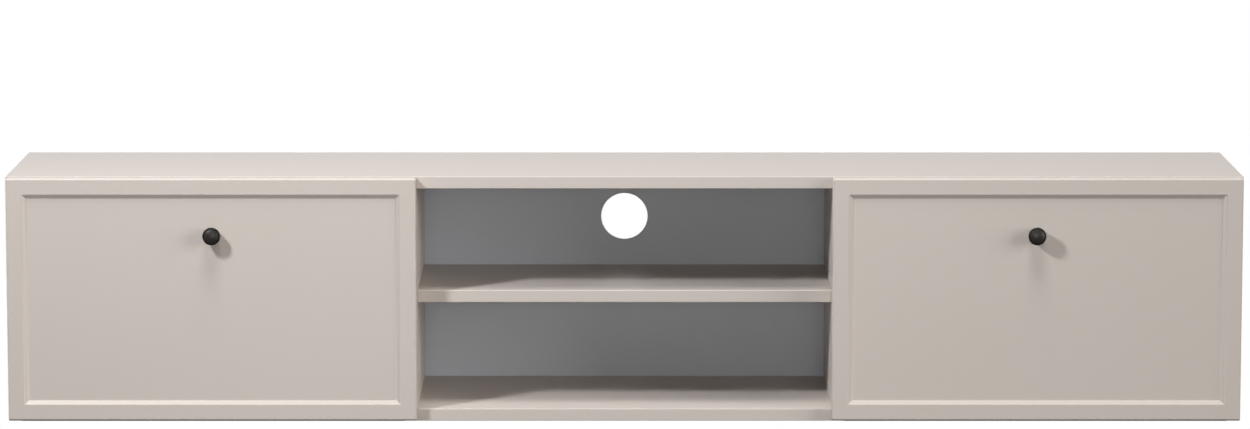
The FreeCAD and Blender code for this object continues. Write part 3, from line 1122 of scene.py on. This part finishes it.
# A moulded block that holds the magnet, and ears at its back that carry the screws
def addCatchHousing(side):
    size = catchSizes
    node = f"catch_housing_{side}"
    low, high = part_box(node)
    x = (low.x + high.x) / 2
    width, depth, height = size["body"]
    back = low.y + depth
    body = block((x - width / 2, low.y, high.z - height), (x + width / 2, back, high.z), size["arris"])
    width, depth, height = size["ear"]
    foot = high.z - height
    ears = block((x - width / 2, back - depth, foot), (x + width / 2, back, high.z), size["arris"], "up")
    addPiece(f"{node}_moulded", joined(body, ears), catchPlastic, "carcass", [node])
    spots = [(x + offset, back - depth / 2, foot) for offset in (-size["screwX"], size["screwX"])]
    heads = repeated(screwHead(*size["screw"]), spots, axisX, toFloor)
    addPiece(f"{node}_screws", heads, screwZinc, "carcass")


def addCatchMagnet(side):
    size = catchSizes
    node = f"catch_magnet_{side}"
    low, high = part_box(node)
    bottom, top = low.z + size["pole"], high.z - size["pole"]
    x, y = size["coreInset"]
    core = block((low.x + x, low.y + y, bottom), (high.x - x, high.y, top), size["coreArris"])
    addPiece(f"{node}_core", core, ferrite, "carcass", [node])
    lower = block(low, (high.x, high.y, bottom), size["poleArris"])
    upper = block((low.x, low.y, top), high, size["poleArris"])
    addPiece(f"{node}_poles", joined(lower, upper), zinc, "carcass")


def addStrikePlate(side):
    size = strikeSizes
    node = f"strike_plate_{side}"
    low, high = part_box(node)
    width, height = high.x - low.x, high.z - low.z
    x, y, z = middleOf(low, high, low.y)

    def outline(inset):
        return roundedRectangle(width - 2 * inset, height - 2 * inset, size["corner"] - inset)

    front, back = size["ease"]
    strike = plate(outline, easedProfile(high.y - low.y, front, back, 2))
    strike = placed(strike, (x, y, z), axisX, axisY)
    addPiece(f"{node}_pressed", strike, zinc, f"{side}_flap", [node])
    spots = [(x + offset, high.y - size["screwSunk"], z) for offset in (-size["screwX"], size["screwX"])]
    heads = repeated(screwHead(*size["screw"], domed=False), spots, axisX, axisY)
    addPiece(f"{node}_screws", heads, screwZinc, f"{side}_flap")


# Domed pads near the flap's upper corners; the rows are shares of the radius and the height.
def addBumperPads(side):
    size = padSizes
    rows = [(0, 0), (1, 0), (1, 0.4), (0.9, 0.7), (0.68, 0.92), (0.35, 1), (0, 1)]
    pad = lathe(np.array(rows) * (size["radius"], size["height"]), 28)
    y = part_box(f"flap_{side}")[1].y + size["seatGap"]
    pads = repeated(pad, [(sides[side] * x, y, size["z"]) for x in size["xs"]], axisX, axisY)
    addPiece(f"{side}_flap_bumper_pads", pads, padRubber, f"{side}_flap")


for side in sides:
    addCatchHousing(side)
    addCatchMagnet(side)
    addStrikePlate(side)
    addBumperPads(side)
print("catches made")


# CAD nodes whose shape is right: the bolts and dowels inside the boards
for node, material in (("cam_bolts", screwZinc), ("dowels", beech)):
    piece = frame["nodes"][node]
    piece.data.materials.clear()
    piece.data.materials.append(material)


# The camera looks at the front from a little above; its lens is fitted to the sensor's width.
cameraView = {
    "place": (0.00088, -7.4416, 1.2649),
    "pitchDown": 7.485,
    "lens": 146.0,
    "sensor": 36.0,
}


def addCamera():
    camera = newObject("camera", bpy.data.cameras.new("camera"))
    camera.data.lens = cameraView["lens"]
    camera.data.sensor_width = cameraView["sensor"]
    camera.location = cameraView["place"]
    camera.rotation_euler = (math.radians(90 - cameraView["pitchDown"]), 0, 0)
    bpy.context.scene.camera = camera


# Lamps: place, aim, width and height, watts, tint. The key lamp turns past the front, to light it evenly.
# The rear and left lamps lie behind the front and below the top, so they light only the back and the
# left side.
lamps = {
    "key lamp": ((-1.78, -1.64, 1.98), (1.22, -1.64, 1.18), (0.42, 0.42), 90.0, (0.98, 1.0, 1.05)),
    "right lamp": ((11.0, -5.60, 3.20), (0, 0, 0.2), (7.0, 7.0), 900.0, (1.02, 1.0, 0.98)),
    "high lamp": ((0.0, -2.60, 9.60), (0, 0, 0.2), (3.2, 3.2), 590.0, (1.0, 1.0, 1.0)),
    "front lamp": ((0.0, -6.50, 0.80), (0, 0, 0.2), (1.6, 1.2), 46.0, (1.03, 1.0, 0.93)),
    "rear lamp": ((0.8, 4.50, 0.05), (0, 0.17, 0.18), (2.6, 0.4), 120.0, (1.0, 1.0, 1.0)),
    "left lamp": ((-5.0, 0.90, 0.10), (-0.9, 0, 0.15), (1.2, 0.3), 60.0, (1.0, 1.0, 1.0)),
}


def addLamps():
    for name, (place, aim, size, watts, tint) in lamps.items():
        data = bpy.data.lights.new(name, "AREA")
        data.shape = "RECTANGLE"
        data.size, data.size_y = size
        data.energy = watts
        data.color = tint
        lamp = newObject(name, data)
        lamp.location = place
        lamp.visible_camera = False
        lamp.rotation_euler = (Vector(aim) - Vector(place)).to_track_quat("-Z", "Y").to_euler()


# The world is white to the camera and through clear pieces, and dim as a lamp.
# Mirrored, it is pale behind the console and darker in front of it, like a studio's backdrop and room.
worldLook = {
    "ambient": 0.013,
    "mirroredBack": 0.65,
    "mirroredFront": 0.3,
    "seam": 0.3,
}


def addWorld():
    look = worldLook
    world = bpy.data.worlds.new("studio")
    world.use_nodes = True
    world.node_tree.nodes.clear()
    start = Signal(world.node_tree)
    rays = start.node("ShaderNodeLightPath")
    camera, glossy = rays.output("Is Camera Ray"), rays.output("Is Glossy Ray")
    seen = camera.math("MAXIMUM", camera, rays.output("Is Transmission Ray"))
    direction = start.node("ShaderNodeTexCoord", output="Generated")
    y = direction.node("ShaderNodeSeparateXYZ", {}, {"Vector": direction}, output="Y")
    span = {"From Min": -look["seam"], "From Max": look["seam"]}
    behind = y.node("ShaderNodeMapRange", {}, {"Value": y, **span})
    mirrored = glossy * between(behind, look["mirroredFront"], look["mirroredBack"])
    strength = between(seen, mirrored.math("MAXIMUM", mirrored, look["ambient"]), 1.0)
    light = start.node("ShaderNodeBackground", {}, {"Color": (1, 1, 1, 1), "Strength": strength})
    start.node("ShaderNodeOutputWorld", {}, {"Surface": light})
    bpy.context.scene.world = world


# A pale round floor well below the hanging console, fading out before its rim and clear from below
floorSizes = {
    "drop": 0.42,
    "radius": 1.9,
    "fadeFrom": 1.1,
    "rings": 12,
    "around": 96,
}

floorLook = {
    "paint": (236, 236, 235),
    "shade": (230, 230, 229),
    "bounce": (70, 70, 70),
    "speckle": 40.0,
    "roughness": 0.7,
}


def addFloor():
    size, look = floorSizes, floorLook
    radius = np.linspace(size["radius"], 0, size["rings"])
    profile = np.column_stack([radius, np.full(size["rings"], -size["drop"])])
    points, faces = lathe(profile, size["around"])
    mesh = bpy.data.meshes.new("floor")
    mesh.from_pydata(points.tolist(), [], faces[0].tolist())
    floor = newObject("floor", mesh)
    material, place = newMaterial("pale floor")
    away = place.node("ShaderNodeVectorMath", {"operation": "LENGTH"}, {0: place}, output="Value")
    span = {"From Min": size["fadeFrom"], "From Max": size["radius"]}
    fade = away.node("ShaderNodeMapRange", {"interpolation_type": "SMOOTHSTEP"}, {"Value": away, **span})
    underside = place.node("ShaderNodeNewGeometry", output="Backfacing")
    pale = painted(noise(place, look["speckle"]), look["paint"], look["shade"])
    seen = place.node("ShaderNodeLightPath")
    colour = mixed(seen, paint(*look["bounce"]), pale)
    inputs = {"Base Color": colour, "Roughness": look["roughness"]}
    surface = place.node("ShaderNodeBsdfPrincipled", {}, inputs)
    clear = place.node("ShaderNodeBsdfTransparent")
    hidden = fade.math("MAXIMUM", fade, underside)
    blend = place.node("ShaderNodeMixShader", {}, {0: hidden, 1: surface, 2: clear})
    place.node("ShaderNodeOutputMaterial", {}, {"Surface": blend})
    mesh.materials.append(material)


addCamera()
addLamps()
addWorld()
addFloor()
bpy.context.scene.view_settings.view_transform = "Standard"
print("camera, lamps, world and floor made")
